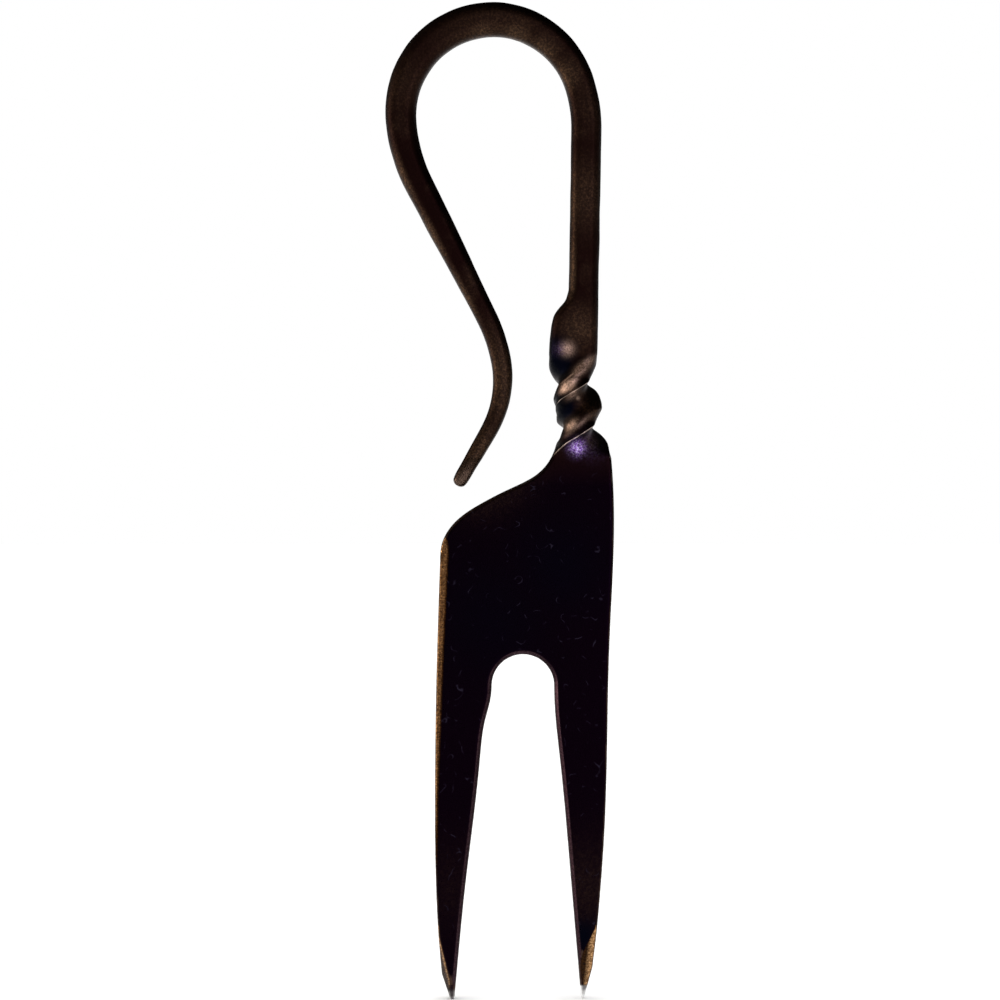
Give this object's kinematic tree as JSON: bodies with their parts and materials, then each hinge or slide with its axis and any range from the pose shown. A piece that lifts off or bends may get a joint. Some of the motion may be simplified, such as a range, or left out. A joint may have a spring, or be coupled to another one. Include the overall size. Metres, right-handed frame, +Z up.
{
  "type": "divot repair tool",
  "caption": "Hand-forged divot repair tool in blackened steel: flat two-tined blade with a sloped shoulder, full-turn twisted neck and a round stem bent over into a hanging hook.",
  "frame": {"origin": "inner crown of the hook's bow, in the middle of the bar's depth, where the tool hangs from a peg or strap", "axes": "+Z up, from the tines to the hook; +X to the right seen from the show face, with the hook curling over to the left; -Y out of the blade's show face"},
  "size_m": [0.0241, 0.0055, 0.1047],
  "materials": {
    "blackened_steel": "forge-blackened and oiled, semi-gloss, browned on rubbed edges",
    "ground_steel": "ground bright facets on blackened steel"
  },
  "bodies": {
    "root": {"hook_bow": "blackened_steel", "hook_leg": "blackened_steel", "hook_tail": "blackened_steel", "hook_tip": "blackened_steel", "stem": "blackened_steel", "stem_collar": "blackened_steel", "twisted_neck": "blackened_steel", "blade_shoulder": "blackened_steel", "blade_plate": "blackened_steel", "left_tine": "blackened_steel", "right_tine": "blackened_steel", "left_tine_point": "ground_steel", "right_tine_point": "ground_steel"}
  },
  "joints": []
}
